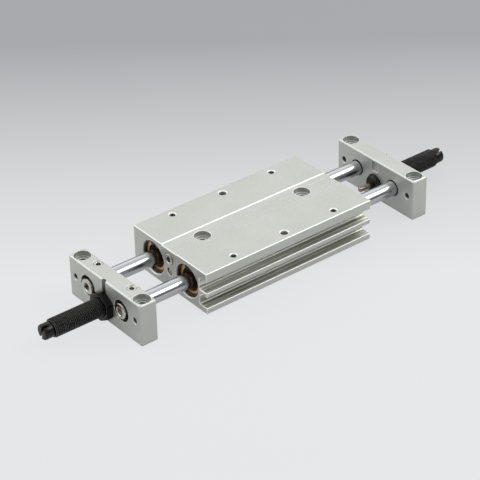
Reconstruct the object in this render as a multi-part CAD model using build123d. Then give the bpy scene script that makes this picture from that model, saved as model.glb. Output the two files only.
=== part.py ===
from build123d import *
import math
import os

# A twin rod pneumatic slide: a ported body rides on two chromed rods that join two end plates,
# and a threaded shock absorber in each plate catches the body at the end of its stroke.
# Sizes are millimetres. X runs along the rods, Z is up, and Z = 0 is the feet of the end plates.
# X = 0 is mid-stroke. Left is -X, right is +X, front is the slotted side at -Y, rear is +Y.

# Fits
slip = 0.02                    # radial gap of a piece seated in its own hole
running = 0.03                 # radial gap between a rod and what slides on it
overshoot = 1.0                # how far a cutting shape runs past the face it cuts

# Rods and bores
rod_diameter = 8.0
rod_spacing = 28.0
bore_diameter = 16.0
bush_diameter = 18.0
bush_length = 8.3
bore_rim_chamfer = 0.5

# Body
body_length = 107.0
body_lift = 1.2                # underside of the body above the plates' feet
body_wall = 2.75               # over and under the bush seats
slot_wall = 1.15               # between a bush seat and the floor of the slots
slot_depth = 5.85
slot_hook = 1.5                # thickness of the lip that hangs over each slot
slot_hook_drop = 1.0
top_lip = 5.25
bottom_lip = 3.45
slot_rib = 2.65
slot_floor_radius = 0.8
slot_mouth_radius = 0.35
body_corner_radius = 0.6
body_end_chamfer = 0.3
channel_width = 13.4
channel_depth = 0.4
channel_step_width = 5.6       # the middle of the channel lies a little lower
channel_step_depth = 0.08

# Fixing holes, shared by the body and the plates
pattern_length = 65.0
pattern_width = 50.0
tapped_radius = 1.65           # M4 core hole
tapped_depth = 3.8             # stops above the roof of the upper slot
dowel_radius = 2.0
dowel_depth = 3.5
screw_hole_radius = 2.25       # M4 clearance
head_hole_radius = 4.35
head_hole_depth = 3.2
mouth_chamfer = 0.4
head_mouth_chamfer = 0.15

# Air ports
port_radius = 2.1              # M5 core hole
port_thread_depth = 6.0
passage_radius = 1.25
port_height_over_rods = 5.9
port_inboard = 2.0             # from the bush's inner end to the port's centre line
port_plug_head_radius = 3.0
port_plug_head_height = 0.7
port_plug_length = 5.5
port_plug_hex = 3.0
port_plug_hex_depth = 2.0

# Pressed pin below each end plug
end_pin_radius = 2.3
end_pin_length = 5.0
end_pin_below_rods = 1.6
end_pin_inset = 0.4
end_pin_bevel = 0.35

# Retaining rings
ring_inset = 1.2
ring_thickness = 1.0
ring_groove_depth = 0.5
ring_width = 1.25
ring_eccentricity = 0.3
ring_lug_radius = 1.3
ring_lug_drop = 2.1            # of a lug's centre below the groove's floor
ring_lug_spread = 3.6
ring_lug_hole = 0.5
ring_gap = 1.3

# Rod bushes and their seals
seal_outer_radius = 6.3
seal_length = 2.2
seal_inset = 2.0               # of a seal's face behind the bush's face
bush_groove_width = 1.7
bush_groove_depth = 1.0
o_ring_section = 0.9

# Pistons
piston_length = 20.0
piston_gap = 0.06              # radial gap between a piston and its bore
piston_seal_width = 2.2
piston_seal_depth = 2.0
piston_seal_inset = 2.6
magnet_width = 4.0
magnet_depth = 2.4
clip_thickness = 0.9
clip_groove_depth = 0.5
clip_outer_radius = 5.4
clip_opening = 5.0

# End plates
end_room = 29.8                # from the body's end face to a plate at mid-stroke
plate_thickness = 10.0
plate_corner_radius = 1.0
plate_chamfer = 0.5
rod_seat_depth = 1.2
rod_seat_relief_width = 0.6    # gap round the rod where it enters a plate
rod_seat_relief_depth = 1.0
spigot_radius = 3.0
screw_recess_radius = 5.9
screw_recess_depth = 3.0
lead_groove_radius = 1.6
pocket_width = 4.8
pocket_height = 5.6
pocket_depth = 0.8
pocket_corner = 1.0
pocket_over_shock = 7.3        # bottom of the pocket over the shock absorber's axis

# Screws
end_screw_radius = 2.08        # M5 shank in the rod's core hole
end_screw_length = 11.0
end_screw_head_radius = 4.2
end_screw_head_height = 3.0
end_screw_hex = 4.0
end_screw_hex_depth = 1.9
washer_radius = 5.7
washer_thickness = 1.0
lock_screw_radius = 2.4        # M5 set screw
lock_screw_length = 7.3
lock_screw_offset = 1.9        # from mid-thickness of the plate towards the body
lock_screw_tip_radius = 1.5
lock_screw_tip_length = 1.2
lock_screw_hex = 2.5
lock_screw_hex_depth = 2.0

# Shock absorbers
shock_radius = 5.0             # M10 x 1 over its crests
shock_height = 9.3
shock_reach = 2.1              # of the tube past the plate's inner face
shock_thread_out = 31.7        # of the tube past the plate's outer face
shock_chamfer = 0.5
shock_bore_radius = 3.5
guide_radius = 3.9
guide_length = 2.5
plunger_radius = 1.4
plunger_out = 8.8
plunger_head_length = 3.0
plunger_tip_chamfer = 0.3
cap_radius = 4.1
cap_length = 4.8
cap_neck_length = 0.6
cap_neck_radius = 3.5
cap_spigot_length = 8.0
cap_chamfer = 0.5
cap_slot_width = 1.6
cap_slot_depth = 2.8
cap_slot_angle = 112.0         # turned from +Y towards +Z
spring_wire = 0.8
spring_turns = 6
spring_gap = 0.1
nut_across_flats = 14.0
nut_height = 4.0
nut_chamfer = 0.8

# Worked out from the above
body_width = 2 * (rod_spacing / 2 + bush_diameter / 2 + slot_wall + slot_depth)
body_height = bush_diameter + 2 * body_wall
body_end = body_length / 2
body_top = body_lift + body_height
rod_height = body_lift + body_height / 2
slot_opening = (body_height - top_lip - bottom_lip - slot_rib) / 2
lower_slot_base = body_lift + bottom_lip
upper_slot_base = lower_slot_base + slot_opening + slot_rib
rod_radius = rod_diameter / 2
bore_radius = bore_diameter / 2
bush_radius = bush_diameter / 2
bush_start = ring_inset + ring_thickness
bush_end = bush_start + bush_length
ring_lug_height = bush_radius + ring_groove_depth - ring_lug_drop
plate_width = body_width
plate_height = body_height
plate_inner = body_end + end_room
plate_outer = plate_inner + plate_thickness
plate_middle = (plate_inner + plate_outer) / 2
port_x = body_end - bush_end - port_inboard
port_height = rod_height + port_height_over_rods
shock_front = plate_inner - shock_reach
shock_back = plate_outer + shock_thread_out
cap_front = shock_back - cap_spigot_length
plunger_head_front = shock_front + guide_length + slip
plunger_head_back = plunger_head_front + plunger_head_length


def turned(outline, y=0.0, z=0.0):
    """A shape turned about an axis along X through (y, z), from (x, radius) points."""
    face = make_face(Polyline(*outline, close=True))
    return Pos(0, y, z) * revolve(face, Axis.X)


def drill(radius, depth, chamfer_size):
    """A cutter that enters at the origin and cuts down -Z, with a chamfered mouth."""
    wide = radius + chamfer_size + overshoot
    outline = [(0, overshoot), (wide, overshoot), (radius, -chamfer_size), (radius, -depth), (0, -depth)]
    face = make_face(Polyline(*outline, close=True))
    return revolve(Plane.XZ * face, Axis.Z)


def hexagon(across_flats, x, length, y=0.0, z=0.0):
    """A hexagonal bar along +X from x, with a corner up."""
    outline = RegularPolygon(across_flats / 2, 6, major_radius=False, rotation=30)
    return extrude(Plane.YZ.offset(x) * (Pos(y, z) * outline), amount=length)


def mirrored(part):
    """The left-hand twin of a piece that was made at the right end."""
    return mirror(part, about=Plane.YZ)


def group(parts):
    """Several identical loose pieces, kept as separate solids in one node."""
    return Compound(children=[p.solid() for p in parts])


# Body

def slot_section(base):
    """One sensor slot: flat below, with a lip hanging over its mouth above."""
    front = -body_width / 2
    floor = front + slot_depth
    hook = front + slot_hook
    mouth = base + slot_opening
    roof = mouth + slot_hook_drop
    corners = [(front, base), (floor, base), (floor, roof), (hook, roof), (hook, mouth), (front, mouth)]
    section = make_face(Polyline(*corners, close=True))
    floor_corners = [v for v in section.vertices() if abs(v.X - floor) < slip]
    return fillet(floor_corners, slot_floor_radius)


def body_profile():
    """The extruded section: rounded block, two slots in front and a shallow channel on top."""
    front = -body_width / 2
    section = Pos(0, rod_height) * Rectangle(body_width, body_height)
    for base in (lower_slot_base, upper_slot_base):
        section -= slot_section(base)
    top = body_top
    half = channel_width / 2
    channel = [(-half, top), (channel_depth - half, top - channel_depth),
               (half - channel_depth, top - channel_depth), (half, top)]
    section -= make_face(Polyline(*channel, close=True))
    step_height = channel_depth + channel_step_depth
    section -= Pos(0, top - step_height / 2) * Rectangle(channel_step_width, step_height)
    mouths = [base + step for base in (lower_slot_base, upper_slot_base) for step in (0, slot_opening)]
    lips = [v for v in section.vertices()
            if abs(v.X - front) < slip and any(abs(v.Y - m) < slip for m in mouths)]
    section = fillet(lips, slot_mouth_radius)
    corners = [v for v in section.vertices()
               if abs(abs(v.X) - body_width / 2) < slip
               and (abs(v.Y - body_lift) < slip or abs(v.Y - body_top) < slip)]
    return fillet(corners, body_corner_radius)


def bore_cut(y):
    """One cylinder bore with its two bush seats, ring grooves and rim chamfers."""
    groove = bush_radius + ring_groove_depth
    rim = bush_radius + bore_rim_chamfer + overshoot
    half = [(body_end + overshoot, 0), (body_end + overshoot, rim),
            (body_end - bore_rim_chamfer, bush_radius),
            (body_end - ring_inset, bush_radius), (body_end - ring_inset, groove),
            (body_end - bush_start, groove), (body_end - bush_start, bush_radius),
            (body_end - bush_end, bush_radius), (body_end - bush_end, bore_radius)]
    other = [(-x, r) for x, r in reversed(half)]
    return turned(half + other, y, rod_height)


def air_cuts():
    """The M5 ports in the rear side, their cross drillings and the end ports that meet them."""
    rear = body_width / 2
    far_bore = -rod_spacing / 2
    inward = body_end - port_x
    port = Rot(-90, 0, 0) * drill(port_radius, port_thread_depth, mouth_chamfer)
    across = Rot(90, 0, 0) * Cylinder(passage_radius, rear - far_bore)
    mouth = drill(port_radius, port_plug_length + overshoot, 0)
    along = Rot(0, 90, 0) * Cylinder(passage_radius, inward)
    cuts = []
    for end in (-1, 1):
        cuts.append(Pos(end * port_x, rear, port_height) * port)
        cuts.append(Pos(end * port_x, (rear + far_bore) / 2, port_height) * across)
        cuts.append(Pos(end * body_end, 0, port_height) * (Rot(0, end * 90, 0) * mouth))
        cuts.append(Pos(end * (port_x + inward / 2), 0, port_height) * along)
    return cuts


def top_cuts():
    """The fixing holes in the body's top face."""
    cuts = []
    for x in (-pattern_length / 2, pattern_length / 2):
        for y in (-pattern_width / 2, pattern_width / 2):
            cuts.append(Pos(x, y, body_top) * drill(tapped_radius, tapped_depth, mouth_chamfer))
        channel_floor = body_top - channel_depth
        cuts.append(Pos(x, 0, channel_floor) * drill(head_hole_radius, head_hole_depth, head_mouth_chamfer))
        cuts.append(Pos(x, 0, channel_floor) * drill(screw_hole_radius, body_height + overshoot, 0))
    for y in (-pattern_width / 2, pattern_width / 2):
        cuts.append(Pos(0, y, body_top) * drill(dowel_radius, dowel_depth, mouth_chamfer))
    return cuts


def make_body():
    body = extrude(Plane.YZ.offset(-body_end) * body_profile(), amount=body_length)
    ends = body.edges().group_by(Axis.X)
    body = chamfer(ends[0] + ends[-1], body_end_chamfer)
    for side in (-1, 1):
        body -= bore_cut(side * rod_spacing / 2)
    for cut in air_cuts() + top_cuts():
        body -= cut
    pin_height = rod_height - end_pin_below_rods
    for end in (-1, 1):
        hole = drill(end_pin_radius + slip, end_pin_inset + end_pin_length, 0)
        body -= Pos(end * body_end, 0, pin_height) * (Rot(0, end * 90, 0) * hole)
    return body


# Pieces at the right end of each bore; the left ones are their mirror images

def make_bush(y):
    """Bronze-coloured rod bush with a seal pocket in front and an O-ring groove round it."""
    face = body_end - bush_start
    back = body_end - bush_end
    outer = bush_radius - slip
    inner = rod_radius + running
    pocket = face - seal_inset - seal_length
    groove_front = face - (bush_length - seal_length) / 2 - bush_groove_width / 2
    floor = outer - bush_groove_depth
    outline = [(face, seal_outer_radius), (face, outer), (groove_front + bush_groove_width, outer),
               (groove_front + bush_groove_width, floor), (groove_front, floor), (groove_front, outer),
               (back, outer), (back, inner), (pocket, inner), (pocket, seal_outer_radius)]
    return turned(outline, y, rod_height)


def make_rod_seal(y):
    """Rubber wiper and seal with a V lip that wipes the rod, deep in its pocket."""
    face = body_end - bush_start - seal_inset
    outer = seal_outer_radius - slip
    inner = rod_radius + running
    back = face - seal_length + slip
    middle = (face + back) / 2
    lip = (outer + inner) / 2
    outline = [(face, outer), (back, outer), (back, lip), (middle, inner), (face, inner),
               (face, inner + seal_length / 4), (middle + seal_length / 4, lip), (face, lip)]
    return turned(outline, y, rod_height)


def make_bush_o_ring(y):
    """O-ring that seals the bush in its seat."""
    face = body_end - bush_start
    middle = face - (bush_length - seal_length) / 2
    radius = bush_radius - slip - bush_groove_depth + o_ring_section / 2 + slip
    section = Pos(middle, radius) * Circle(o_ring_section / 2)
    return Pos(0, y, rod_height) * revolve(section, Axis.X)


def make_retaining_ring(y):
    """Internal circlip with its gap and its two plier lugs at the top."""
    outer = bush_radius + ring_groove_depth - slip
    inner = outer - ring_width
    section = Circle(outer) - Pos(0, ring_eccentricity) * Circle(inner)
    for side in (-1, 1):
        section += Pos(side * ring_lug_spread / 2, ring_lug_height) * Circle(ring_lug_radius)
    section -= Pos(0, outer) * Rectangle(ring_gap, outer)
    for side in (-1, 1):
        section -= Pos(side * ring_lug_spread / 2, ring_lug_height) * Circle(ring_lug_hole)
    plane = Plane.YZ.offset(body_end - bush_start + slip)
    return extrude(plane * (Pos(y, rod_height) * section), amount=ring_thickness - 2 * slip)


def make_port_plug():
    """M5 plug with a low round head and a hex socket."""
    face = body_end + port_plug_head_height
    edge = port_plug_head_height / 3
    shank = port_radius - slip
    outline = [(face, 0), (face, port_plug_head_radius - edge), (face - edge, port_plug_head_radius),
               (body_end, port_plug_head_radius), (body_end, shank),
               (body_end - port_plug_length, shank), (body_end - port_plug_length, 0)]
    plug = turned(outline, 0, port_height)
    floor = face - port_plug_hex_depth
    return plug - hexagon(port_plug_hex, floor, port_plug_hex_depth + overshoot, 0, port_height)


def make_end_pin():
    """Pressed pin with a bevelled end, just below the face."""
    face = body_end - end_pin_inset
    back = face - end_pin_length + slip
    outline = [(face, 0), (face, end_pin_radius - end_pin_bevel), (face - end_pin_bevel, end_pin_radius),
               (back, end_pin_radius), (back, 0)]
    return turned(outline, 0, rod_height - end_pin_below_rods)


# Rods and pistons

def make_rod(y):
    """Chromed rod with seated spigots, tapped ends and two clip grooves beside the piston."""
    shoulder = plate_inner + rod_seat_depth
    end = plate_outer - screw_recess_depth - slip
    seat = spigot_radius
    groove = rod_radius - clip_groove_depth
    clip = piston_length / 2 + slip
    clip_end = clip + clip_thickness + slip
    tapped = end_screw_radius + slip
    tapped_start = end - end_screw_length + washer_thickness + overshoot
    half = [(end, tapped), (end, seat), (shoulder, seat), (shoulder, rod_radius), (clip_end, rod_radius),
            (clip_end, groove), (clip, groove), (clip, rod_radius)]
    other = [(-x, r) for x, r in reversed(half)]
    outline = half + other + [(-end, 0), (end, 0)]
    rod = turned(outline, y, rod_height)
    depth = end - tapped_start + 2 * overshoot
    for side in (-1, 1):
        rod -= Pos(side * end, y, rod_height) * (Rot(0, side * 90, 0) * drill(tapped, depth, 0))
    return rod


def make_piston(y):
    """Piston with a groove for each seal and a wider one for the sensor magnet."""
    outer = bore_radius - piston_gap
    inner = rod_radius + slip
    half = piston_length / 2
    seal_floor = outer - piston_seal_depth
    magnet_floor = outer - magnet_depth
    seal_out = half - piston_seal_inset
    seal_in = seal_out - piston_seal_width
    right = [(magnet_width / 2, magnet_floor), (magnet_width / 2, outer), (seal_in, outer),
             (seal_in, seal_floor), (seal_out, seal_floor), (seal_out, outer),
             (half - slip, outer), (half - slip, inner)]
    left = [(-x, r) for x, r in reversed(right)]
    return turned(left + right, y, rod_height)


def make_piston_seal(y, side):
    """Lip seal in the piston's groove; its lips face the chamber on its side."""
    outer = bore_radius - piston_gap / 2
    floor = bore_radius - piston_gap - piston_seal_depth + slip
    far = side * (piston_length / 2 - piston_seal_inset - slip)
    near = side * (piston_length / 2 - piston_seal_inset - piston_seal_width + slip)
    middle = (far + near) / 2
    notch = (outer + floor) / 2
    outline = [(near, floor), (near, outer - piston_gap), (far, outer), (middle, notch), (far, floor)]
    return turned(outline, y, rod_height)


def make_magnet(y):
    """Magnet ring that the body's sensors detect."""
    outer = bore_radius - 2 * piston_gap
    floor = bore_radius - piston_gap - magnet_depth + slip
    half = magnet_width / 2 - slip
    return turned([(-half, floor), (-half, outer), (half, outer), (half, floor)], y, rod_height)


def make_piston_clip(y, side):
    """C-shaped shaft clip that holds the piston on its rod."""
    inner = rod_radius - clip_groove_depth + slip
    section = Circle(clip_outer_radius) - Circle(inner)
    section -= Pos(0, clip_outer_radius) * Rectangle(clip_opening, 2 * clip_outer_radius)
    start = piston_length / 2 + 2 * slip
    thickness = clip_thickness - 2 * slip
    clip = extrude(Plane.YZ.offset(start) * (Pos(y, rod_height) * section), amount=thickness)
    return clip if side > 0 else mirrored(clip)


# End plates

def plate_rod_cut(y):
    """Rod seat from the inner face, spigot hole, and screw recess from the outer face."""
    seat = rod_radius + slip
    relief = rod_radius + rod_seat_relief_width
    floor = plate_outer - screw_recess_depth
    outline = [(plate_inner - overshoot, 0), (plate_inner - overshoot, relief),
               (plate_inner + rod_seat_relief_depth, relief), (plate_inner + rod_seat_relief_depth, seat),
               (plate_inner + rod_seat_depth, seat),
               (plate_inner + rod_seat_depth, spigot_radius + slip), (floor, spigot_radius + slip),
               (floor, screw_recess_radius), (plate_outer + overshoot, screw_recess_radius),
               (plate_outer + overshoot, 0)]
    return turned(outline, y, rod_height)


def plate_shock_cut():
    """Threaded hole for the shock absorber, chamfered on both faces."""
    hole = shock_radius + slip
    wide = hole + shock_chamfer + overshoot
    outline = [(plate_inner - overshoot, 0), (plate_inner - overshoot, wide),
               (plate_inner + shock_chamfer, hole), (plate_outer - shock_chamfer, hole),
               (plate_outer + overshoot, wide), (plate_outer + overshoot, 0)]
    return turned(outline, 0, shock_height)


def make_plate(locked):
    """Right-hand end plate; the locked one also has a set screw hole over each rod."""
    plate = Pos(plate_middle, 0, plate_height / 2) * Box(plate_thickness, plate_width, plate_height)
    plate = fillet(plate.edges().filter_by(Axis.Z), plate_corner_radius)
    rims = plate.edges().group_by(Axis.Z)
    plate = chamfer(rims[0] + rims[-1], plate_chamfer)
    plate -= plate_shock_cut()
    groove_height = plate_height + overshoot - shock_height
    groove_middle = shock_height + groove_height / 2
    plate -= Pos(plate_outer, 0, groove_middle) * Cylinder(lead_groove_radius, groove_height)
    pocket = RectangleRounded(pocket_width, pocket_height, pocket_corner)
    pocket_middle = shock_height + pocket_over_shock + pocket_height / 2
    plate -= extrude(Plane.YZ.offset(plate_inner - overshoot) * (Pos(0, pocket_middle) * pocket),
                     amount=overshoot + pocket_depth)
    head_hole = drill(head_hole_radius, head_hole_depth, head_mouth_chamfer)
    screw_hole = drill(screw_hole_radius, plate_height + overshoot, 0)
    tapped = drill(tapped_radius, plate_thickness / 2 + overshoot, mouth_chamfer)
    for side in (-1, 1):
        y = side * pattern_width / 2
        plate -= plate_rod_cut(side * rod_spacing / 2)
        plate -= Pos(plate_middle, y, plate_height) * head_hole
        plate -= Pos(plate_middle, y, plate_height) * screw_hole
        plate -= Pos(plate_outer, y, rod_height) * (Rot(0, 90, 0) * tapped)
        plate -= Pos(plate_inner, y, rod_height) * (Rot(0, -90, 0) * tapped)
        if locked:
            depth = plate_height - rod_height
            hole = drill(lock_screw_radius + slip, depth, mouth_chamfer)
            plate -= Pos(plate_middle - lock_screw_offset, side * rod_spacing / 2, plate_height) * hole
    return plate


def make_lock_screw(y):
    """Dog-point set screw that bears on the rod's spigot, with its socket up."""
    bottom = rod_height + spigot_radius + slip
    shank = Cylinder(lock_screw_radius, lock_screw_length - lock_screw_tip_length)
    screw = Pos(0, 0, (lock_screw_length + lock_screw_tip_length) / 2) * shank
    screw += Pos(0, 0, lock_screw_length / 4) * Cylinder(lock_screw_tip_radius, lock_screw_length / 2)
    key = RegularPolygon(lock_screw_hex / 2, 6, major_radius=False)
    socket = extrude(key, amount=lock_screw_hex_depth + overshoot)
    screw -= Pos(0, 0, lock_screw_length - lock_screw_hex_depth) * socket
    return Pos(plate_middle - lock_screw_offset, y, bottom) * screw


def make_end_screw(y):
    """Low-head M5 screw that pulls the rod into its seat."""
    under = plate_outer - screw_recess_depth + washer_thickness + slip
    face = under + end_screw_head_height
    edge = end_screw_head_radius / 8
    tip = under - end_screw_length
    outline = [(tip, 0), (tip, end_screw_radius - edge), (tip + edge, end_screw_radius),
               (under, end_screw_radius), (under, end_screw_head_radius),
               (face - edge, end_screw_head_radius), (face, end_screw_head_radius - edge), (face, 0)]
    socket_floor = face - end_screw_hex_depth
    socket = hexagon(end_screw_hex, socket_floor, end_screw_hex_depth + overshoot, y, rod_height)
    return turned(outline, y, rod_height) - socket


def make_washer(y):
    """Black washer on the floor of the screw recess."""
    floor = plate_outer - screw_recess_depth
    hole = end_screw_radius + slip
    face = floor + washer_thickness
    edge = washer_thickness / 4
    outline = [(floor, hole), (floor, washer_radius), (face - edge, washer_radius),
               (face, washer_radius - edge), (face, hole)]
    return turned(outline, y, rod_height)


# Shock absorbers

def make_shock_tube():
    """Threaded tube over its crests, open in front and behind."""
    edge = shock_radius - shock_chamfer
    outline = [(shock_front, edge), (shock_front + shock_chamfer, shock_radius),
               (shock_back - shock_chamfer, shock_radius), (shock_back, edge),
               (shock_back, shock_bore_radius), (shock_front + guide_length, shock_bore_radius),
               (shock_front + guide_length, guide_radius), (shock_front, guide_radius)]
    return turned(outline, 0, shock_height)


def make_shock_guide():
    """Ring in the tube's mouth that guides the plunger."""
    outer = guide_radius - slip
    inner = plunger_radius + running
    back = shock_front + guide_length
    edge = shock_chamfer / 2
    outline = [(shock_front, inner + edge), (shock_front, outer - edge), (shock_front + edge, outer),
               (back, outer), (back, inner), (shock_front + edge, inner)]
    return turned(outline, 0, shock_height)


def make_plunger():
    """Hardened plunger with the head that keeps it in the tube."""
    tip = shock_front - plunger_out
    head = shock_bore_radius - running
    edge = plunger_tip_chamfer
    outline = [(tip, 0), (tip, plunger_radius - edge), (tip + edge, plunger_radius),
               (plunger_head_front, plunger_radius), (plunger_head_front, head), (plunger_head_back, head),
               (plunger_head_back, 0)]
    return turned(outline, 0, shock_height)


def make_shock_spring():
    """Return spring between the plunger's head and the end cap."""
    start = plunger_head_back + spring_gap + spring_wire / 2
    length = cap_front - spring_gap - spring_wire / 2 - start
    radius = shock_bore_radius - 2 * spring_gap - spring_wire / 2
    pitch = length / spring_turns
    path = Helix(pitch=pitch, height=length, radius=radius, center=(start, 0, 0), direction=(1, 0, 0))
    wire = Plane(origin=path @ 0, z_dir=path % 0) * Circle(spring_wire / 2)
    return Pos(0, 0, shock_height) * sweep(wire, path)


def make_shock_cap():
    """End cap: spigot in the tube, neck, and a round head with a screwdriver slot."""
    neck_end = shock_back + cap_neck_length
    face = neck_end + cap_length
    spigot = shock_bore_radius - slip
    outline = [(cap_front, 0), (cap_front, spigot), (shock_back, spigot), (shock_back, cap_neck_radius),
               (neck_end, cap_neck_radius), (neck_end, cap_radius), (face - cap_chamfer, cap_radius),
               (face, cap_radius - cap_chamfer), (face, 0)]
    cap = turned(outline, 0, shock_height)
    slot = Box(2 * cap_slot_depth, 2 * (cap_radius + overshoot), cap_slot_width)
    return cap - Pos(face, 0, shock_height) * (Rot(cap_slot_angle, 0, 0) * slot)


def make_lock_nut():
    """Thin hex nut with both faces chamfered, tight against the plate's outer face."""
    back = plate_outer + nut_height
    corner = nut_across_flats / math.sqrt(3)
    edge = corner - nut_chamfer
    slope = nut_chamfer / math.sqrt(3)
    nut = hexagon(nut_across_flats, plate_outer, nut_height, 0, shock_height)
    outline = [(plate_outer, 0), (plate_outer, edge), (plate_outer + slope, corner), (back - slope, corner),
               (back, edge), (back, 0)]
    nut &= turned(outline, 0, shock_height)
    hole = shock_radius + slip
    rim = hole + shock_chamfer
    cut = [(plate_outer - overshoot, 0), (plate_outer - overshoot, hole), (back - shock_chamfer, hole),
           (back, rim), (back + overshoot, rim), (back + overshoot, 0)]
    return nut - turned(cut, 0, shock_height)


# Write every node

def write(name, part):
    export_step(part, os.path.join("parts", name + ".step"))


def main():
    os.makedirs("parts", exist_ok=True)
    front = -rod_spacing / 2
    rear = rod_spacing / 2
    rods = {"front": front, "rear": rear}
    write("body", make_body())
    write("end_plate_left", mirrored(make_plate(locked=True)))
    write("end_plate_right", make_plate(locked=False))
    write("rod_lock_screws", group([mirrored(make_lock_screw(y)) for y in rods.values()]))
    for name, y in rods.items():
        write("rod_" + name, make_rod(y))
        write("piston_" + name, make_piston(y))
        write("piston_magnet_" + name, make_magnet(y))
        write("piston_seal_" + name + "_left", make_piston_seal(y, -1))
        write("piston_seal_" + name + "_right", make_piston_seal(y, 1))
        for end, turn in (("left", mirrored), ("right", lambda part: part)):
            place = name + "_" + end
            write("rod_bush_" + place, turn(make_bush(y)))
            write("rod_seal_" + place, turn(make_rod_seal(y)))
            write("bush_o_ring_" + place, turn(make_bush_o_ring(y)))
    write("piston_clips", group([make_piston_clip(y, side) for y in rods.values() for side in (-1, 1)]))
    rings = [make_retaining_ring(y) for y in rods.values()]
    write("retaining_rings", group(rings + [mirrored(ring) for ring in rings]))
    screws = [make_end_screw(y) for y in rods.values()]
    write("rod_end_screws", group(screws + [mirrored(screw) for screw in screws]))
    washers = [make_washer(y) for y in rods.values()]
    write("rod_end_washers", group(washers + [mirrored(washer) for washer in washers]))
    plug = make_port_plug()
    write("end_port_plugs", group([plug, mirrored(plug)]))
    pin = make_end_pin()
    write("end_pins", group([pin, mirrored(pin)]))
    shock_pieces = {"shock_tube": make_shock_tube(), "shock_guide": make_shock_guide(),
                    "shock_plunger": make_plunger(), "shock_spring": make_shock_spring(),
                    "shock_cap": make_shock_cap(), "lock_nut": make_lock_nut()}
    for name, piece in shock_pieces.items():
        write(name + "_right", piece)
        write(name + "_left", mirrored(piece))


main()
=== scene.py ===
import math

import bpy
from mathutils import Matrix, Vector


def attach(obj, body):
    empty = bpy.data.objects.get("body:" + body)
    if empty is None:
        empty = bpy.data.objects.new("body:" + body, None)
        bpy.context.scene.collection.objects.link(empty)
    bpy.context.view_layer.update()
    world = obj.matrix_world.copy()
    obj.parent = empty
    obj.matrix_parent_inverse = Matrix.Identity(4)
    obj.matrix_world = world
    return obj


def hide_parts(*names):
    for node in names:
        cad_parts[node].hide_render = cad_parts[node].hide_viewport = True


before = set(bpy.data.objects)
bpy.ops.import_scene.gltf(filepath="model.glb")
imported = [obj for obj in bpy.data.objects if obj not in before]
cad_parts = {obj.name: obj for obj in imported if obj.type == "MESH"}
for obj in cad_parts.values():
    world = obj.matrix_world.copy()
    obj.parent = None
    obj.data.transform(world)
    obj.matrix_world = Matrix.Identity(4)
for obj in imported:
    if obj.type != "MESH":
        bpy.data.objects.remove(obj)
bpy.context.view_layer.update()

# Sizes that several pieces share, in metres
MM = 0.001
ROD_Y = 14 * MM
ROD_Z = 12.95 * MM
SHOCK_Z = 9.3 * MM
PLATE_INNER = 83.3 * MM
PLATE_OUTER = 93.3 * MM
FACE_HOLE_Y = 25 * MM          # tapped holes in the faces of the end plates
SET_SCREW_X = -86.4 * MM       # only the near plate has them
BODY_END = 53.5 * MM
BODY_TOP = 24.7 * MM
BODY_BACK = 30 * MM
TOP_HOLE_X, TOP_HOLE_Y = 32.5 * MM, 25 * MM
PORT_X, PORT_Z = 41 * MM, 18.85 * MM
PIN_Z = 11.35 * MM
TUBE_FRONT, TUBE_BACK = 81.2 * MM, 125.0 * MM
CAP_SLOT_ANGLE = math.radians(112)

# Threads as core radius of the hole, height of the ridge, pitch
M4 = (1.65 * MM, 0.22 * MM, 0.7 * MM)
M5 = (2.1 * MM, 0.26 * MM, 0.8 * MM)

HALF_TURN = Matrix.Rotation(math.pi, 4, "Z")
MIRROR_X = Matrix.Scale(-1, 4, (1, 0, 0))
LENGTHWAYS = {"x": Vector((1, 0, 0)), "z": Vector((0, 0, 1))}
TURNS = {"x": (0, math.pi / 2, 0), "z": (0, 0, 0)}


# Modelling helpers: everything is done the way a hand does it, with operators

def nothing_selected():
    if bpy.context.mode != "OBJECT":
        bpy.ops.object.mode_set(mode="OBJECT")
    bpy.ops.object.select_all(action="DESELECT")


def only(piece):
    nothing_selected()
    piece.select_set(True)
    bpy.context.view_layer.objects.active = piece


def edit(piece):
    only(piece)
    bpy.ops.object.mode_set(mode="EDIT")


def place_in_mesh(piece):
    """Leaves the object at the origin, with its place in its mesh."""
    only(piece)
    bpy.ops.object.transform_apply(location=True, rotation=True, scale=True)


def outward(piece):
    """Merges doubles and turns every face out."""
    edit(piece)
    bpy.ops.mesh.select_all(action="SELECT")
    bpy.ops.mesh.remove_doubles(threshold=1e-7)
    bpy.ops.mesh.normals_make_consistent(inside=False)
    bpy.ops.object.mode_set(mode="OBJECT")


def modify(piece, kind, **settings):
    """Adds a modifier, sets it and applies it."""
    only(piece)
    modifier = piece.modifiers.new(kind.lower(), kind)
    for key, value in settings.items():
        setattr(modifier, key, value)
    bpy.ops.object.modifier_apply(modifier=modifier.name)


def soften(piece, width, angle):
    """Rolls the edges that are sharper than the angle."""
    modify(piece, "BEVEL", width=width, segments=2, limit_method="ANGLE",
           angle_limit=math.radians(angle), use_clamp_overlap=True)


def shade(piece, angle):
    """Shades smooth across edges that are flatter than the angle."""
    only(piece)
    bpy.ops.object.shade_smooth_by_angle(angle=math.radians(angle))


def cut(piece, cutter, operation="DIFFERENCE"):
    """Cuts piece with cutter, which is used up."""
    modify(piece, "BOOLEAN", operation=operation, object=cutter, solver="EXACT")
    bpy.data.objects.remove(cutter)


def copied(piece, name, matrix):
    """A copy with its own mesh, moved by matrix; a mirrored copy has its faces turned back out."""
    twin = piece.copy()
    twin.data = piece.data.copy()
    twin.name = name
    bpy.context.scene.collection.objects.link(twin)
    twin.data.transform(matrix)
    if matrix.determinant() < 0:
        twin.data.flip_normals()
    return twin


def joined(name, pieces):
    nothing_selected()
    for piece in pieces:
        piece.select_set(True)
    bpy.context.view_layer.objects.active = pieces[0]
    bpy.ops.object.join()
    pieces[0].name = name
    pieces[0].data.name = name
    return pieces[0]


def in_metres(stations):
    """Stations in millimetres, (along, radius), as metres."""
    return [(along * MM, radius * MM) for along, radius in stations]


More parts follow.
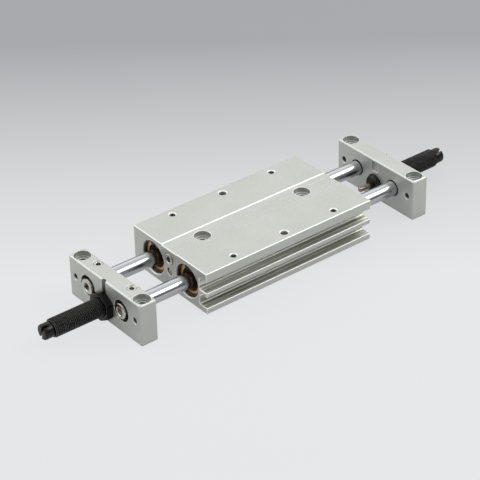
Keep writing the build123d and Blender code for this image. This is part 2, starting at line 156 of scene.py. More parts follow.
def turned(name, stations, axis="x", sides=96, closed=False):
    """A turned piece: a circle extruded and scaled from station to station, each (along, radius).
    A closed one joins its last ring to its first, as a washer does; the others are capped."""
    along = LENGTHWAYS[axis]
    position, radius = stations[0]
    nothing_selected()
    bpy.ops.mesh.primitive_circle_add(vertices=sides, radius=radius, fill_type="NOTHING",
                                      location=along * position, rotation=TURNS[axis])
    piece = bpy.context.object
    place_in_mesh(piece)
    edit(piece)
    bpy.ops.mesh.select_mode(type="EDGE")
    bpy.ops.mesh.select_all(action="SELECT")
    if not closed:
        bpy.ops.mesh.edge_face_add()
    rest = stations[1:] + [stations[0]] if closed else stations[1:]
    for next_position, next_radius in rest:
        bpy.ops.mesh.extrude_region_move(
            TRANSFORM_OT_translate={"value": along * (next_position - position)})
        scale = next_radius / radius
        bpy.ops.transform.resize(value=(scale, scale, scale),
                                 center_override=along * next_position)
        position, radius = next_position, next_radius
    bpy.ops.object.mode_set(mode="OBJECT")
    piece.name = name
    outward(piece)
    return piece


def hexagon(name, across_flats, start, length, axis="x"):
    """A hexagonal bar from start, with a corner up, or for one that stands, towards X."""
    along = LENGTHWAYS[axis]
    nothing_selected()
    bpy.ops.mesh.primitive_circle_add(vertices=6, radius=across_flats / math.sqrt(3),
                                      fill_type="NGON", location=along * start,
                                      rotation=TURNS[axis])
    piece = bpy.context.object
    place_in_mesh(piece)
    edit(piece)
    bpy.ops.mesh.select_all(action="SELECT")
    if axis == "x":
        bpy.ops.transform.rotate(value=math.pi / 2, orient_axis="X",
                                 center_override=along * start)
    bpy.ops.mesh.extrude_region_move(TRANSFORM_OT_translate={"value": along * length})
    bpy.ops.object.mode_set(mode="OBJECT")
    piece.name = name
    outward(piece)
    return piece


def box(name, low, high):
    nothing_selected()
    middle = [(a + b) / 2 for a, b in zip(low, high)]
    bpy.ops.mesh.primitive_cube_add(size=1, location=middle)
    piece = bpy.context.object
    piece.scale = [b - a for a, b in zip(low, high)]
    place_in_mesh(piece)
    piece.name = name
    return piece


def profile(name, points, axis):
    """A line drawn point by point, each (along, radius), beside an axis through the origin."""
    nothing_selected()
    bpy.ops.mesh.primitive_plane_add(size=MM)
    piece = bpy.context.object
    place_in_mesh(piece)
    edit(piece)
    bpy.ops.mesh.select_mode(type="VERT")
    bpy.ops.mesh.select_all(action="SELECT")
    bpy.ops.mesh.merge(type="CENTER")
    before = Vector((0, 0, 0))
    for number, (along, radius) in enumerate(points):
        point = Vector((along, 0, radius)) if axis == "x" else Vector((radius, 0, along))
        if number:
            bpy.ops.mesh.extrude_region_move(TRANSFORM_OT_translate={"value": point - before})
        else:
            bpy.ops.transform.translate(value=point - before)
        before = point
    bpy.ops.object.mode_set(mode="OBJECT")
    piece.name = name
    return piece


def wind(tooth, axis, pitch, turns, sides):
    """Winds the line of a tooth into a thread."""
    modify(tooth, "SCREW", axis=axis, angle=math.tau, screw_offset=pitch, iterations=turns,
           steps=sides, render_steps=sides, use_merge_vertices=True, merge_threshold=1e-6,
           use_smooth_shade=False)


def trim(piece, plane, normal):
    """Cuts away what lies beyond the plane and closes the cut."""
    edit(piece)
    bpy.ops.mesh.select_all(action="SELECT")
    bpy.ops.mesh.bisect(plane_co=plane, plane_no=normal, use_fill=True, clear_outer=True,
                        threshold=1e-7)
    bpy.ops.object.mode_set(mode="OBJECT")


def stands_for(piece, body, cad_node):
    """The piece is seen in place of the CAD node, and moves with the body."""
    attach(piece, body)
    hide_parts(cad_node)


# Shock absorbers' tubes

def threaded_tube(name):
    """The shock absorber's tube with its M10 x 1 thread: one tooth wound along the tube, then
    trimmed to the tube's own outline, chamfers and bore included."""
    pitch, turns, sides = 1.0 * MM, 47, 56
    start = 79.9 * MM
    root, crest = 4.42 * MM, 5.0 * MM
    tooth = [(start, root), (start + 0.06 * MM, root), (start + 0.44 * MM, crest),
             (start + 0.56 * MM, crest), (start + 0.94 * MM, root), (start + pitch, root)]
    tube = profile(name, tooth, "x")
    wind(tube, "X", pitch, turns, sides)
    trim(tube, (TUBE_FRONT - 0.6 * MM, 0, 0), (-1, 0, 0))
    trim(tube, (TUBE_BACK + 0.6 * MM, 0, 0), (1, 0, 0))
    outward(tube)
    # The blank is a little wider than the crests, so that only its chamfers cut them
    blank, chamfer = 5.06 * MM, 0.62 * MM
    bore, guide_bore, guide_end = 3.5 * MM, 3.88 * MM, TUBE_FRONT + 2.5 * MM
    outline = [(TUBE_FRONT, blank - chamfer), (TUBE_FRONT + chamfer, blank),
               (TUBE_BACK - chamfer, blank), (TUBE_BACK, blank - chamfer),
               (TUBE_BACK, bore), (guide_end, bore), (guide_end, guide_bore),
               (TUBE_FRONT, guide_bore)]
    cut(tube, turned("tube_outline", outline, sides=2 * sides, closed=True), "INTERSECT")
    tube.data.transform(Matrix.Translation((0, 0, SHOCK_Z)))
    outward(tube)
    shade(tube, 24)
    return tube


right_tube = threaded_tube("threaded_shock_tube_right")
shock_tubes = {"right": right_tube,
               "left": copied(right_tube, "threaded_shock_tube_left", HALF_TURN)}
for side, tube in shock_tubes.items():
    stands_for(tube, "frame", "shock_tube_" + side)


# Threads in the tapped holes

def thread_in_hole(name, thread, depth):
    """The turns of an internal thread, wound once down a hole that starts at the origin and
    runs down -Z. The hole's own wall closes it behind."""
    core, ridge, pitch = thread
    start, sides = -0.5 * MM, 32
    wall, tip = core - 0.01 * MM, core - ridge
    tooth = [(start, wall), (start - 0.35 * pitch, tip), (start - 0.50 * pitch, tip),
             (start - 0.85 * pitch, wall), (start - pitch, wall)]
    turns = profile(name, tooth, "z")
    wind(turns, "Z", -pitch, int((depth + start) / pitch), sides)
    edit(turns)
    bpy.ops.mesh.select_all(action="SELECT")
    bpy.ops.mesh.normals_make_consistent(inside=True)
    bpy.ops.object.mode_set(mode="OBJECT")
    shade(turns, 40)
    return turns


top_thread = thread_in_hole("m4_thread", M4, 3.6 * MM)
body_threads = [copied(top_thread, "m4_thread", Matrix.Translation((x, y, BODY_TOP)))
                for x in (-TOP_HOLE_X, TOP_HOLE_X) for y in (-TOP_HOLE_Y, TOP_HOLE_Y)]
bpy.data.objects.remove(top_thread)

port_thread = thread_in_hole("m5_thread", M5, 5.6 * MM)
facing_back = Matrix.Rotation(-math.pi / 2, 4, "X")
body_threads += [
    copied(port_thread, "m5_thread", Matrix.Translation((x, BODY_BACK, PORT_Z)) @ facing_back)
    for x in (-PORT_X, PORT_X)]
bpy.data.objects.remove(port_thread)
tapped_holes = [joined("threads_tapped_in_body", body_threads)]
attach(tapped_holes[0], "housing")

face_thread = thread_in_hole("m4_thread_in_face", M4, 4.4 * MM)
for side, sign in (("left", -1), ("right", 1)):
    plate_threads = []
    for y in (-FACE_HOLE_Y, FACE_HOLE_Y):
        for face, out in ((PLATE_OUTER, sign), (PLATE_INNER, -sign)):
            facing_out = Matrix.Rotation(out * math.pi / 2, 4, "Y")
            plate_threads.append(copied(
                face_thread, "face_thread",
                Matrix.Translation((sign * face, y, ROD_Z)) @ facing_out))
    tapped_holes.append(joined("threads_tapped_in_plate_" + side, plate_threads))
    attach(tapped_holes[-1], "frame")
bpy.data.objects.remove(face_thread)


# Set screws over the rods: dished top, hex socket, and a dog point that bears on the rod's
# spigot inside the plate

set_screw = turned("set_screw", in_metres([
    (15.97, 1.3), (16.17, 1.5), (17.17, 1.5), (17.17, 2.1), (17.45, 2.4), (22.87, 2.4),
    (23.17, 2.22), (23.27, 2.0), (23.25, 1.78), (22.85, 1.48)]), axis="z", sides=48)
cut(set_screw, hexagon("hex_key", 2.5 * MM, 21.27 * MM, 3.0 * MM, axis="z"))
shade(set_screw, 30)
set_screws = joined("set_screws_over_rods", [
    copied(set_screw, "set_screw", Matrix.Translation((SET_SCREW_X, y, 0)))
    for y in (-ROD_Y, ROD_Y)])
bpy.data.objects.remove(set_screw)
stands_for(set_screws, "frame", "rod_lock_screws")


# Cap screws in the plates' recesses: rolled rim, flat face, bevelled mouth of the hex socket

cap_screw = turned("cap_screw", in_metres([
    (83.6, 1.7), (84.1, 2.08), (91.32, 2.08), (91.32, 3.9), (91.5, 4.2), (93.72, 4.2),
    (94.05, 4.1), (94.25, 3.86), (94.32, 3.55), (94.30, 2.62), (94.05, 2.34)]), sides=72)
cut(cap_screw, hexagon("hex_key", 4.0 * MM, 92.42 * MM, 3.0 * MM))
shade(cap_screw, 30)
right_screws = [copied(cap_screw, "cap_screw", Matrix.Translation((0, y, ROD_Z)))
                for y in (-ROD_Y, ROD_Y)]
left_screws = [copied(screw, "cap_screw", HALF_TURN) for screw in right_screws]
bpy.data.objects.remove(cap_screw)
cap_screws = joined("rod_end_cap_screws", right_screws + left_screws)
stands_for(cap_screws, "frame", "rod_end_screws")


# Plugs in the ends of the air passages: low rolled head and a hex socket

plug = turned("plug", in_metres([
    (48.0, 1.8), (48.3, 2.08), (53.5, 2.08), (53.5, 2.85), (53.6, 3.0), (53.92, 3.0),
    (54.1, 2.9), (54.2, 2.66), (54.2, 2.05), (54.0, 1.78)]), sides=64)
cut(plug, hexagon("hex_key", 3.0 * MM, 52.2 * MM, 3.0 * MM))
shade(plug, 30)
plug.data.transform(Matrix.Translation((0, 0, PORT_Z)))
end_plugs = joined("hex_socket_end_plugs", [plug, copied(plug, "plug", HALF_TURN)])
stands_for(end_plugs, "housing", "end_port_plugs")


# Pins pressed in under the plugs: domed, a little below the face

pin = turned("pin", in_metres([
    (45.6, 1.9), (45.9, 2.26), (52.55, 2.26), (52.8, 2.1), (52.98, 1.75), (53.08, 1.2),
    (53.1, 0.5)]), sides=64)
shade(pin, 50)
pin.data.transform(Matrix.Translation((0, 0, PIN_Z)))
end_pins = joined("pressed_end_pins", [pin, copied(pin, "pin", HALF_TURN)])
stands_for(end_pins, "housing", "end_pins")


# Lock nuts: hexagon with turned chamfers on both faces, edges rolled

NUT_FLATS, NUT_LENGTH = 14.0, 4.0
corner = NUT_FLATS / math.sqrt(3)
nut = hexagon("shock_lock_nut_right", NUT_FLATS * MM, PLATE_OUTER, NUT_LENGTH * MM)
cut(nut, turned("nut_blank", in_metres([
    (93.29, corner - 0.9), (93.85, corner + 0.05), (96.75, corner + 0.05),
    (97.31, corner - 0.9)]), sides=128), "INTERSECT")
cut(nut, turned("nut_hole", in_metres([(92.0, 5.02), (96.8, 5.02), (98.0, 6.22)]), sides=128))
soften(nut, 0.14 * MM, 18)
shade(nut, 25)
nut.data.transform(Matrix.Translation((0, 0, SHOCK_Z)))
lock_nuts = {"right": nut, "left": copied(nut, "shock_lock_nut_left", HALF_TURN)}
for side, lock_nut in lock_nuts.items():
    stands_for(lock_nut, "frame", "lock_nut_" + side)


# End caps of the shock absorbers: spigot, neck, rounded head and a deep screwdriver slot

cap = turned("slotted_cap_right", in_metres([
    (117.0, 3.2), (117.3, 3.48), (125.02, 3.48), (125.02, 3.5), (125.6, 3.5), (125.6, 3.85),
    (125.7, 4.02), (125.9, 4.1), (129.55, 4.1), (129.9, 4.04), (130.18, 3.86), (130.34, 3.62),
    (130.4, 3.3)]))
slot_cutter = box("slot_cutter", (127.6 * MM, -5 * MM, -0.8 * MM), (132 * MM, 5 * MM, 0.8 * MM))
slot_cutter.data.transform(Matrix.Rotation(CAP_SLOT_ANGLE, 4, "X"))
cut(cap, slot_cutter)
soften(cap, 0.16 * MM, 40)
shade(cap, 25)
cap.data.transform(Matrix.Translation((0, 0, SHOCK_Z)))
slotted_caps = {"right": cap, "left": copied(cap, "slotted_cap_left", MIRROR_X)}
for side, slotted_cap in slotted_caps.items():
    stands_for(slotted_cap, "frame", "shock_cap_" + side)


# Materials

def linear(code):
    """An sRGB hex colour as linear RGBA."""
    values = [int(code[i:i + 2], 16) / 255 for i in (1, 3, 5)]
    return (*(v / 12.92 if v <= 0.04045 else ((v + 0.055) / 1.055) ** 2.4 for v in values), 1.0)


def grey(value):
    return (value, value, value, 1)


BLACK, WHITE = grey(0), grey(1)


def add_node(tree, kind, links=None, values=None, stops=(), **settings):
    """Adds a node with its settings, the values of its sockets, the stops of its colour ramp,
    and the links into its sockets."""
    node = tree.nodes.new(kind)
    for key, value in settings.items():
        setattr(node, key, value)
    for socket, value in (values or {}).items():
        node.inputs[socket].default_value = value
    if stops:
        elements = node.color_ramp.elements
        while len(elements) < len(stops):
            elements.new(0.5)
        for element, (position, colour) in zip(elements, stops):
            element.position = position
            element.color = colour
    for socket, source in (links or {}).items():
        tree.links.new(source, node.inputs[socket])
    return node


def new_material(name):
    """A material with a principled shader, its node tree, and the shader."""
    material = bpy.data.materials.new(name)
    material.use_nodes = True
    tree = material.node_tree
    tree.nodes.clear()
    shader = add_node(tree, "ShaderNodeBsdfPrincipled")
    add_node(tree, "ShaderNodeOutputMaterial", {"Surface": shader.outputs["BSDF"]})
    return material, tree, shader


def painted_shade_share(tree, reach, low, high):
    """Painted shade: 0 deep in holes, grooves and corners, where it darkens the colour, and 1 in
    the open.
    """
    shelter = add_node(tree, "ShaderNodeAmbientOcclusion", values={"Distance": reach}, samples=10)
    share = add_node(tree, "ShaderNodeValToRGB", {"Fac": shelter.outputs["AO"]},
                     stops=[(low, BLACK), (high, WHITE)])
    return share.outputs["Color"]


def rolled_edges(tree, radius, least=0.993, most=0.92):
    """Where a sharp edge is broken by this radius: how far the surface there leans from its face
    (0 on the flat, 1 on the edge), and the leaning normal that gives the edge its line of light.
    The cosines of the least lean that shows and of the lean that shows in full set its width."""
    leaning = add_node(tree, "ShaderNodeBevel", values={"Radius": radius}, samples=8)
    face = add_node(tree, "ShaderNodeNewGeometry").outputs["Normal"]
    agree = add_node(tree, "ShaderNodeVectorMath", {0: leaning.outputs["Normal"], 1: face},
                     operation="DOT_PRODUCT")
    share = add_node(tree, "ShaderNodeValToRGB", {"Fac": agree.outputs["Value"]},
                     stops=[(most, WHITE), (least, BLACK)])
    return share.outputs["Color"], leaning.outputs["Normal"]


def upper_edge_highlight_mask(tree):
    """Where the painted edge highlight goes: 1 on the roundings and cuts that lean between the top
    and a side, else 0.
    """
    facing = add_node(tree, "ShaderNodeNewGeometry").outputs["True Normal"]
    parts = add_node(tree, "ShaderNodeSeparateXYZ", {"Vector": facing})
    share = add_node(tree, "ShaderNodeValToRGB", {"Fac": parts.outputs["Z"]},
                     stops=[(0.18, BLACK), (0.34, WHITE), (0.93, WHITE), (0.98, BLACK)])
    return share.outputs["Color"]


def groove_painted_shade(tree, place):
    """Painted shade in the half-round groove over the shock absorber: 0.12 in the groove and 1
    elsewhere; the groove is nearer than 1.62 mm to its axis on the outer face."""
    folded = add_node(tree, "ShaderNodeVectorMath", {0: place}, operation="ABSOLUTE")
    parts = add_node(tree, "ShaderNodeSeparateXYZ", {"Vector": folded.outputs["Vector"]})
    level = add_node(tree, "ShaderNodeCombineXYZ",
                     {"X": parts.outputs["X"], "Y": parts.outputs["Y"]})
    off = add_node(tree, "ShaderNodeVectorMath", {0: level.outputs["Vector"]},
                   {1: (PLATE_OUTER, 0, 0)}, operation="DISTANCE")
    share = add_node(tree, "ShaderNodeMapRange", {"Value": off.outputs["Value"]},
                     {"From Min": 1.58 * MM, "From Max": 1.66 * MM, "To Min": 0.12})
    return share.outputs["Result"]


def slot_painted_shade_and_highlights(tree, place, lines, tone):
    """Painted shade and painted highlights in the sensor slots: olive and bright lines that follow
    the drawing lines, on the slotted side, 1 to 6 mm in from its face and up to 20.6 mm high,
    short of the end faces."""
    parts = add_node(tree, "ShaderNodeSeparateXYZ", {"Vector": place})
    along = add_node(tree, "ShaderNodeMath", {0: parts.outputs["X"]}, operation="ABSOLUTE")
    inward = add_node(tree, "ShaderNodeMapRange", {"Value": parts.outputs["Y"]},
                      {"From Min": -29.0 * MM, "From Max": -28.2 * MM})
    share = inward.outputs["Result"]
    for measure, limit in ((parts.outputs["Y"], -23.9 * MM), (parts.outputs["Z"], 20.6 * MM),
                           (along.outputs["Value"], BODY_END - 0.2 * MM)):
        within = add_node(tree, "ShaderNodeMath", {0: measure}, {1: limit},
                          operation="LESS_THAN")
        share = add_node(tree, "ShaderNodeMath", {0: share, 1: within.outputs["Value"]},
                         operation="MULTIPLY").outputs["Value"]
    slot_paint = add_node(tree, "ShaderNodeValToRGB", {"Fac": lines}, stops=[
        (0.36, linear("#7B7C6E")), (0.50, linear("#A9AA9D")), (0.58, linear("#F4F4EC"))])
    mixed = add_node(tree, "ShaderNodeMix",
                     {"Factor": share, "A": tone, "B": slot_paint.outputs["Color"]}, data_type="RGBA")
    return mixed.outputs["Result"]


def anodised(name, colour, tint, brushed, broken_by, extruded):
    """Clear anodised aluminium, bead blasted before anodising: a pale satin with a very fine
    grain in its gloss, and drawing lines along the extrusion where it was not machined. Its
    hollows are darkened with painted shade and its edges whitened with a painted highlight."""
    material, tree, shader = new_material(name)
    place = add_node(tree, "ShaderNodeTexCoord").outputs["Object"]
    # Blasted grain of about 0.12 mm, drawn at 0.35 mm so that it shows
    grain = add_node(tree, "ShaderNodeTexNoise", {"Vector": place},
                     {"Scale": 1 / (0.35 * MM), "Detail": 3.0})
    # Drawing lines 0.3 mm apart, 60 mm long
    stretch = add_node(tree, "ShaderNodeMapping", {"Vector": place},
                       {"Scale": (1 / (60 * MM), 1 / (0.3 * MM), 1 / (0.3 * MM))})
    lines = add_node(tree, "ShaderNodeTexNoise", {"Vector": stretch.outputs["Vector"]},
                     {"Scale": 1.0, "Detail": 2.0})

    # The tone: blasted grain, drawn at 0.5 mm, and a slow cloud of 22 mm
    cloud = add_node(tree, "ShaderNodeTexNoise", {"Vector": place},
                     {"Scale": 1 / (22 * MM), "Detail": 2.0})
    speckle = add_node(tree, "ShaderNodeTexNoise", {"Vector": place},
                       {"Scale": 1 / (0.5 * MM), "Detail": 2.0})
    uneven = add_node(tree, "ShaderNodeMix",
                      {"A": cloud.outputs["Fac"], "B": speckle.outputs["Fac"]},
                      {"Factor": 0.65}, data_type="FLOAT")
    spread = add_node(tree, "ShaderNodeMapRange", {"Value": uneven.outputs["Result"]},
                      {"From Min": 0.35, "From Max": 0.65})
    tone = add_node(tree, "ShaderNodeMix", {"Factor": spread.outputs["Result"]},
                    {"A": linear(colour), "B": linear(tint)}, data_type="RGBA").outputs["Result"]

    # Painted highlight along the broken edges, but none down in the tapped holes; on the
    #     # extrusion also along the upper edges, and painted shade and highlights in the slots
    edges, leaning = rolled_edges(tree, broken_by)
    if extruded:
        tone = slot_painted_shade_and_highlights(tree, place, lines.outputs["Fac"], tone)
        edges = add_node(tree, "ShaderNodeMath", {0: edges, 1: upper_edge_highlight_mask(tree)},
                         operation="MAXIMUM").outputs["Value"]
    open_share = painted_shade_share(tree, 3.0 * MM, 0.08, 0.78)
    open_enough = add_node(tree, "ShaderNodeMapRange", {"Value": open_share},
                       {"From Min": 0.24, "From Max": 0.48})
    painted_edge_highlight = add_node(tree, "ShaderNodeMath", {0: edges, 1: open_enough.outputs["Result"]},
                      operation="MULTIPLY").outputs["Value"]

    # Painted shade darkens the hollows and the groove; a painted highlight whitens the edges
    unshaded_share = add_node(tree, "ShaderNodeMath", {0: open_share, 1: groove_painted_shade(tree, place)},
                     operation="MULTIPLY")
    deep = add_node(tree, "ShaderNodeMix", {"Factor": unshaded_share.outputs["Value"], "B": tone},
                    {"A": linear("#6E706C")}, data_type="RGBA")
    edge_highlight_painted = add_node(tree, "ShaderNodeMix", {"Factor": painted_edge_highlight, "A": deep.outputs["Result"]},
                       {"B": linear("#FDFDFA")}, data_type="RGBA")
    tree.links.new(edge_highlight_painted.outputs["Result"], shader.inputs["Base Color"])

    rough = add_node(tree, "ShaderNodeMapRange", {"Value": grain.outputs["Fac"]},
                     {"From Min": 0.3, "From Max": 0.7, "To Min": 0.40, "To Max": 0.50})
    gloss = add_node(tree, "ShaderNodeMix", {"Factor": painted_edge_highlight, "A": rough.outputs["Result"]},
                     {"B": 0.34}, data_type="FLOAT")
    tree.links.new(gloss.outputs["Result"], shader.inputs["Roughness"])
    # The broken edges are made less of a mirror than the faces, so that their painted white
    #     # highlight shows
    mirror = add_node(tree, "ShaderNodeMapRange", {"Value": painted_edge_highlight},
                      {"To Min": 0.72, "To Max": 0.10})
    tree.links.new(mirror.outputs["Result"], shader.inputs["Metallic"])

    height = add_node(tree, "ShaderNodeMix",
                      {"A": grain.outputs["Fac"], "B": lines.outputs["Fac"]},
                      {"Factor": brushed}, data_type="FLOAT")
    bump = add_node(tree, "ShaderNodeBump",
                    {"Height": height.outputs["Result"], "Normal": leaning},
                    {"Strength": 0.30, "Distance": 0.04 * MM})
    tree.links.new(bump.outputs["Normal"], shader.inputs["Normal"])
    return material


def chromed(name):
    """Hard chromed, ground steel: a near mirror with faint grinding rings round the rod."""
    material, tree, shader = new_material(name)
    place = add_node(tree, "ShaderNodeTexCoord").outputs["Object"]
    # Grinding rings 0.25 mm wide, 9 mm long round the rod
    stretch = add_node(tree, "ShaderNodeMapping", {"Vector": place},
                       {"Scale": (1 / (0.25 * MM), 1 / (9 * MM), 1 / (9 * MM))})
    rings = add_node(tree, "ShaderNodeTexNoise", {"Vector": stretch.outputs["Vector"]},
                     {"Scale": 1.0, "Detail": 2.0})
    rough = add_node(tree, "ShaderNodeMapRange", {"Value": rings.outputs["Fac"]},
                     {"To Min": 0.17, "To Max": 0.23})
    tree.links.new(rough.outputs["Result"], shader.inputs["Roughness"])
    shader.inputs["Base Color"].default_value = linear("#B8BABD")
    shader.inputs["Metallic"].default_value = 1.0
    return material


def blackened(name, colour, worn, edge_highlight_colour, roughness, spread):
    """A dark, oiled surface: near black, with a broken sheen from the oil and painted highlights
    on its edges and thread crests, where the oxide also wears bare."""
    material, tree, shader = new_material(name)
    place = add_node(tree, "ShaderNodeTexCoord").outputs["Object"]
    # Blotches of oil, 1.6 mm
    blotch = add_node(tree, "ShaderNodeTexNoise", {"Vector": place},
                      {"Scale": 1 / (1.6 * MM), "Detail": 4.0})
    rough = add_node(tree, "ShaderNodeMapRange", {"Value": blotch.outputs["Fac"]},
                     {"To Min": roughness - spread, "To Max": roughness + spread})
    tree.links.new(rough.outputs["Result"], shader.inputs["Roughness"])
    tone = add_node(tree, "ShaderNodeValToRGB", {"Fac": blotch.outputs["Fac"]},
                    stops=[(0.35, linear(colour)), (0.75, linear(worn))])
    # Painted highlight on crests and corners, 0.15 mm wide, where the oxide also wears bare
    painted_edge_highlight, leaning = rolled_edges(tree, 0.15 * MM, 0.96, 0.84)
    crests = add_node(tree, "ShaderNodeMix", {"Factor": painted_edge_highlight, "A": tone.outputs["Color"]},
                      {"B": linear(edge_highlight_colour)}, data_type="RGBA")
    tree.links.new(crests.outputs["Result"], shader.inputs["Base Color"])
    tree.links.new(leaning, shader.inputs["Normal"])
    shader.inputs["Specular IOR Level"].default_value = 0.20
    return material


def bright_metal(name, colour, second, roughness, grain_size):
    """Bright plated or turned metal with a fine broken gloss and two near tones; its hollows
    are darkened with painted shade.
    """
    material, tree, shader = new_material(name)
    place = add_node(tree, "ShaderNodeTexCoord").outputs["Object"]
    grain = add_node(tree, "ShaderNodeTexNoise", {"Vector": place},
                     {"Scale": 1 / grain_size, "Detail": 3.0})
    rough = add_node(tree, "ShaderNodeMapRange", {"Value": grain.outputs["Fac"]},
                     {"To Min": roughness * 0.75, "To Max": roughness * 1.25})
    tree.links.new(rough.outputs["Result"], shader.inputs["Roughness"])
    tone = add_node(tree, "ShaderNodeValToRGB", {"Fac": grain.outputs["Fac"]},
                    stops=[(0.25, linear(colour)), (0.85, linear(second))])
    hollow_shade_painted = add_node(tree, "ShaderNodeMix",
                         {"Factor": painted_shade_share(tree, 2.0 * MM, 0.15, 0.70),
                          "B": tone.outputs["Color"]},
                         {"A": linear("#151413")}, data_type="RGBA")
    tree.links.new(hollow_shade_painted.outputs["Result"], shader.inputs["Base Color"])
    shader.inputs["Metallic"].default_value = 1.0
    return material


def rubber(name):
    """Moulded nitrile rubber: black and matte with a faint bloom, 0.8 mm."""
    material, tree, shader = new_material(name)
    place = add_node(tree, "ShaderNodeTexCoord").outputs["Object"]
    bloom = add_node(tree, "ShaderNodeTexNoise", {"Vector": place},
                     {"Scale": 1 / (0.8 * MM), "Detail": 2.0})
    tone = add_node(tree, "ShaderNodeValToRGB", {"Fac": bloom.outputs["Fac"]},
                    stops=[(0.3, linear("#111111")), (0.9, linear("#232322"))])
    tree.links.new(tone.outputs["Color"], shader.inputs["Base Color"])
    shader.inputs["Roughness"].default_value = 0.6
    return material


satin_aluminium = anodised("anodised_aluminium", "#C3C4BF", "#B6B8B2", brushed=0.5,
                           broken_by=0.8 * MM, extruded=True)
plate_aluminium = anodised("anodised_plate_aluminium", "#C3C5C0", "#B6B8B3", brushed=0.1,
                           broken_by=0.5 * MM, extruded=False)
chrome = chromed("hard_chromed_steel")
black_oxide = blackened("black_oxide_steel", "#050505", "#0E0D0D", "#B4B4B2", 0.24, 0.06)
cap_oxide = blackened("black_oxide_cap", "#14120F", "#24211E", "#56524E", 0.22, 0.05)
magnet_black = blackened("bonded_magnet", "#1B1B1C", "#242425", "#2C2C2D", 0.55, 0.05)
bronze = bright_metal("bearing_bronze", "#B88A59", "#D6AE80", 0.34, 0.5 * MM)
nickel = bright_metal("nickel_plated_steel", "#CFCCC4", "#BDBAB2", 0.20, 0.6 * MM)
pin_steel = bright_metal("hardened_steel", "#A79C90", "#8E8378", 0.22, 0.4 * MM)
wire_steel = bright_metal("spring_steel", "#8C8C90", "#8C8C90", 0.3, 0.4 * MM)
turned_aluminium = bright_metal("turned_aluminium", "#C4C6C8", "#C4C6C8", 0.3, 0.4 * MM)
# The threads in the tapped holes are painted dark grey, which stands for the shade down in the
# holes
tapped_aluminium_painted_dark = bright_metal("tapped_aluminium_painted_dark", "#5A5B59", "#3E3F3D", 0.3, 0.4 * MM)
seal_rubber = rubber("seal_rubber")

# The first line that a CAD node's name starts with gives its finish
FINISHES = (
    ("body", satin_aluminium), ("end_plate", plate_aluminium), ("rod_lock_screws", nickel),
    ("rod_bush", bronze), ("rod_seal", seal_rubber), ("rod_end_screws", nickel),
    ("rod_end_washers", black_oxide), ("rod_", chrome), ("bush_o_ring", seal_rubber),
    ("piston_seal", seal_rubber), ("piston_magnet", magnet_black), ("piston_clips", black_oxide),
    ("piston_", turned_aluminium), ("retaining_rings", black_oxide), ("end_port_plugs", nickel),
    ("end_pins", pin_steel), ("shock_tube", black_oxide), ("shock_cap", cap_oxide),
    ("shock_guide", black_oxide), ("shock_plunger", pin_steel), ("shock_spring", wire_steel),
    ("lock_nut", black_oxide),
)
finished = [(node, next(material for start, material in FINISHES if name.startswith(start)))
            for name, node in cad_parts.items()]
for pieces, material in ((shock_tubes.values(), black_oxide), (tapped_holes, tapped_aluminium_painted_dark),
                         ((set_screws, cap_screws, end_plugs), nickel), ((end_pins,), pin_steel),
                         (lock_nuts.values(), black_oxide), (slotted_caps.values(), cap_oxide)):
    finished += [(piece, material) for piece in pieces]
for piece, material in finished:
    piece.data.materials.clear()
    piece.data.materials.append(material)


# Camera, at the photograph's viewing point. It was solved in units of 0.60 mm of the real
# object, about a point 3.35 units over the middle of its footprint

UNIT = 0.60 * MM
AZIMUTH, ELEVATION, ROLL = -2.2304, 0.57080, -0.0246
EYE_RIGHT, EYE_UP, EYE_BACK = -11.7272, 8.2554, 1706.7154
AIM_HEIGHT = 3.35
LENS_PIXELS, FRAME_PIXELS, SENSOR_WIDTH = 1987.1046, 480, 36

back = Vector((math.cos(ELEVATION) * math.cos(AZIMUTH),
               math.cos(ELEVATION) * math.sin(AZIMUTH), math.sin(ELEVATION)))
level_right = Vector((0, 0, 1)).cross(back).normalized()
level_up = back.cross(level_right)
right = level_right * math.cos(ROLL) + level_up * math.sin(ROLL)
up = level_up * math.cos(ROLL) - level_right * math.sin(ROLL)
eye = ((right * EYE_RIGHT + up * EYE_UP + back * EYE_BACK) * UNIT
       + Vector((0, 0, AIM_HEIGHT * UNIT)))
camera_data = bpy.data.cameras.new("camera")
camera = bpy.data.objects.new("camera", camera_data)
bpy.context.scene.collection.objects.link(camera)
camera_data.sensor_width = SENSOR_WIDTH
camera_data.lens = LENS_PIXELS / FRAME_PIXELS * SENSOR_WIDTH
camera_data.clip_start, camera_data.clip_end = 0.05, 20
camera.matrix_world = Matrix((
    (right.x, up.x, back.x, eye.x),
    (right.y, up.y, back.y, eye.y),
    (right.z, up.z, back.z, eye.z),
    (0, 0, 0, 1)))
bpy.context.scene.camera = camera


# Floor and light

FLOOR_NEAR, FLOOR_FAR = -0.02, 0.24      # metres away over the floor, where its tone changes
FLOOR_STOPS = [(0.0, linear("#E6E7E9")), (0.35, linear("#D6D7D9")), (1.0, linear("#A0A1A5"))]
SHOWN_PAPER, MIRRORED_PAPER = 0.90, 0.55

nothing_selected()
bpy.ops.mesh.primitive_plane_add(size=6, location=(0, 0, 0))
floor = bpy.context.object
floor.name = "paper_sweep"

# A pale paper sweep: light grey in front, falling to mid grey behind the object
paper = bpy.data.materials.new("matte_paper")
paper.use_nodes = True
floor_tree = paper.node_tree
floor_tree.nodes.clear()
floor_place = add_node(floor_tree, "ShaderNodeTexCoord").outputs["Object"]
depth = add_node(floor_tree, "ShaderNodeVectorMath", {0: floor_place},
                 {1: Vector((-back.x, -back.y, 0)).normalized()}, operation="DOT_PRODUCT")
away = add_node(floor_tree, "ShaderNodeMapRange", {"Value": depth.outputs["Value"]},
                {"From Min": FLOOR_NEAR, "From Max": FLOOR_FAR})
floor_tone = add_node(floor_tree, "ShaderNodeValToRGB", {"Fac": away.outputs["Result"]},
                      stops=FLOOR_STOPS)
shown = add_node(floor_tree, "ShaderNodeEmission", {"Color": floor_tone.outputs["Color"]},
                 {"Strength": 1.0})
lit = add_node(floor_tree, "ShaderNodeBsdfDiffuse", values={"Color": linear("#D6D6D6")})
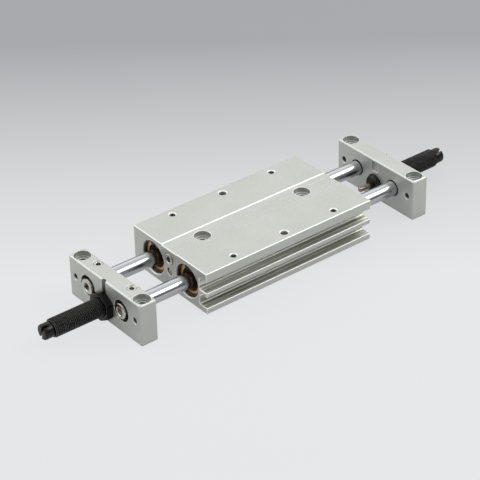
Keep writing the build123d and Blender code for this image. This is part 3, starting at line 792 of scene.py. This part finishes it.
# The rest is lit paper, which holds the faint shadow under the object; a reflection shows
# more of it, because metal near the floor mirrors the shaded paper beside it
ray = add_node(floor_tree, "ShaderNodeLightPath")
seen = add_node(floor_tree, "ShaderNodeMath",
                {0: ray.outputs["Is Camera Ray"], 1: ray.outputs["Is Transmission Ray"]},
                operation="MAXIMUM")
seen_share = add_node(floor_tree, "ShaderNodeMath", {0: seen.outputs["Value"]},
                      {1: SHOWN_PAPER}, operation="MULTIPLY")
mirrored_share = add_node(floor_tree, "ShaderNodeMath", {0: ray.outputs["Is Glossy Ray"]},
                          {1: MIRRORED_PAPER}, operation="MULTIPLY")
shown_share = add_node(floor_tree, "ShaderNodeMath",
                       {0: seen_share.outputs["Value"], 1: mirrored_share.outputs["Value"]},
                       operation="MAXIMUM")
floor_light = add_node(floor_tree, "ShaderNodeMixShader",
                       {0: shown_share.outputs["Value"], 1: lit.outputs["BSDF"],
                        2: shown.outputs["Emission"]})
add_node(floor_tree, "ShaderNodeOutputMaterial", {"Surface": floor_light.outputs["Shader"]})
floor.data.materials.append(paper)

# How bright the room is by the height of the direction over the horizon, and how much of that
# is left from the front wall (-Y), which is dark, to the back wall (+Y)
SKY_STOPS = [(0.0, grey(0.20)), (0.20, grey(0.28)), (0.40, grey(1.30)), (0.70, grey(1.50)),
             (0.86, grey(1.05)), (1.0, grey(1.25))]
WALL_STOPS = [(0.0, grey(0.38)), (0.28, grey(0.50)), (0.52, grey(0.85)), (0.75, grey(1.0))]

world = bpy.data.worlds.new("studio")
bpy.context.scene.world = world
world.use_nodes = True
world_tree = world.node_tree
world_tree.nodes.clear()
heading = add_node(world_tree, "ShaderNodeTexCoord").outputs["Generated"]
heading_parts = add_node(world_tree, "ShaderNodeSeparateXYZ", {"Vector": heading})
sky = add_node(world_tree, "ShaderNodeValToRGB", {"Fac": heading_parts.outputs["Z"]},
               stops=SKY_STOPS)
sideways = add_node(world_tree, "ShaderNodeMapRange", {"Value": heading_parts.outputs["Y"]},
                    {"From Min": -1})
wall = add_node(world_tree, "ShaderNodeValToRGB", {"Fac": sideways.outputs["Result"]},
                stops=WALL_STOPS)
room_tone = add_node(world_tree, "ShaderNodeMix",
                     {"A": sky.outputs["Color"], "B": wall.outputs["Color"]},
                     {"Factor": 1.0}, data_type="RGBA", blend_type="MULTIPLY")
room = add_node(world_tree, "ShaderNodeBackground", {"Color": room_tone.outputs["Result"]},
                {"Strength": 1.0})
add_node(world_tree, "ShaderNodeOutputWorld", {"Surface": room.outputs["Background"]})


def soft_box(name, place, size, power):
    """A soft box that looks at the middle of the object."""
    data = bpy.data.lights.new(name, "AREA")
    data.shape = "RECTANGLE"
    data.size, data.size_y = size
    data.energy = power
    lamp = bpy.data.objects.new(name, data)
    bpy.context.scene.collection.objects.link(lamp)
    lamp.location = place
    lamp.rotation_mode = "QUATERNION"
    middle = Vector((0, 0, 0.01))
    lamp.rotation_quaternion = (middle - Vector(place)).to_track_quat("-Z", "Y")


# One box in front and above, one behind: they light the two rows of long chamfers, and the
# front one is also the white band along the rods
soft_box("front_box", place=(0.49, -0.45, 0.66), size=(0.52, 0.38), power=3.6)
soft_box("back_box", place=(-0.42, 0.55, 0.42), size=(0.45, 0.45), power=1.0)

bpy.context.scene.view_settings.view_transform = "Standard"
